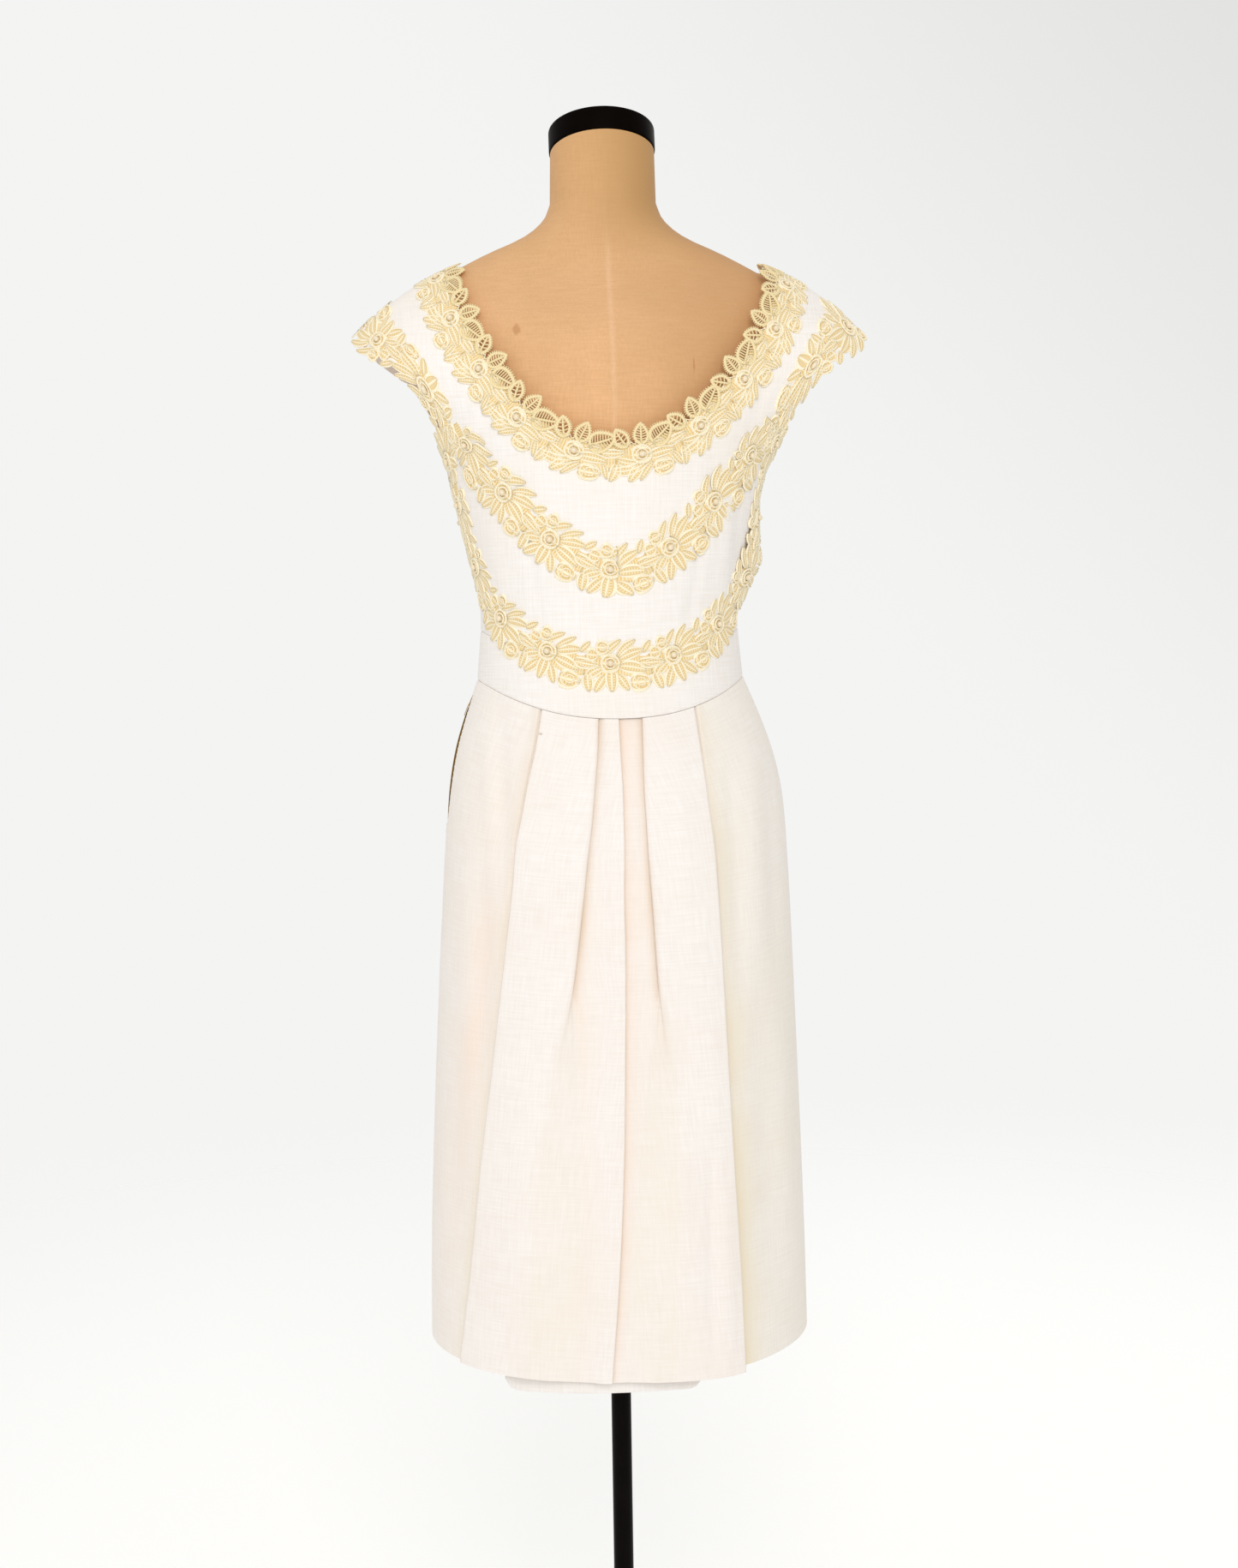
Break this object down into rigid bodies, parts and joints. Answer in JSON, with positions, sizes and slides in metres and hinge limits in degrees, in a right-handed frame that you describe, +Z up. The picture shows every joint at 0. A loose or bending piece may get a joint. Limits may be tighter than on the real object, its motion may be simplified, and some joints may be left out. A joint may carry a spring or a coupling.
{
  "type": "cocktail dress on a dress form with stand",
  "caption": "Knee-length cap-sleeve cocktail dress with scooped back, guipure lace bands, midriff yoke and pleated skirt, worn by a limbless dress form on a round stand.",
  "frame": {"origin": "centre of the stand base's underside, on the floor", "axes": "+Z up, -Y the garment's front, +Y its back, +X the wearer's left"},
  "size_m": [0.4748, 0.34, 1.5808],
  "materials": {
    "linen": "ivory slubbed linen weave",
    "lace": "butter-coloured guipure lace with pearls",
    "form_cover": "tan cotton cover, smooth",
    "cap": "black gloss",
    "stand": "black enamel",
    "zip": "dark gold zip"
  },
  "bodies": {
    "root": {"bodice_back_left": "linen", "bodice_back_right": "linen", "bodice_front": "linen", "yoke_back_left": "linen", "yoke_back_right": "linen", "yoke_front": "linen", "skirt_front": "linen", "skirt_back_left": "linen", "skirt_back_right": "linen", "skirt_underlay": "linen", "side_zip": "zip", "lace_neck_back": "lace", "lace_neck_front": "lace", "lace_upper_back": "lace", "lace_upper_front": "lace", "lace_lower_back": "lace", "lace_lower_front": "lace", "lace_sleeve_left_back": "lace", "lace_sleeve_left_front": "lace", "lace_sleeve_right_back": "lace", "lace_sleeve_right_front": "lace", "form_torso": "form_cover", "neck_cap": "cap", "pole_collar": "stand", "stand_pole": "stand", "stand_base": "stand"}
  },
  "joints": []
}
